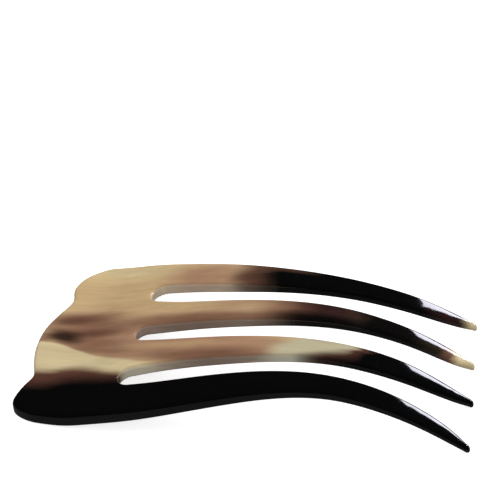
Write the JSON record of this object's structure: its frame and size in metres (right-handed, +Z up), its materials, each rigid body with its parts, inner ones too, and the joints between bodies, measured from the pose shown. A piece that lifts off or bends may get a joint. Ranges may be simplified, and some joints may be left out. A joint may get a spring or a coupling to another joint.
{
  "type": "hair fork",
  "caption": "Bowed hair fork cut from one plate of polished horn, with a scalloped head and long tapering prongs with rounded tips.",
  "frame": {"origin": "centre of the footprint, on the surface that the fork lies on", "axes": "+X along the fork from the scalloped head to the prong tips, +Y across the prongs, +Z up out of the bowed outer face"},
  "size_m": [0.114, 0.062, 0.0146],
  "materials": {
    "horn": "polished natural horn, cream and brown at the head running into black"
  },
  "bodies": {
    "root": {"hair_fork": "horn"}
  },
  "joints": []
}
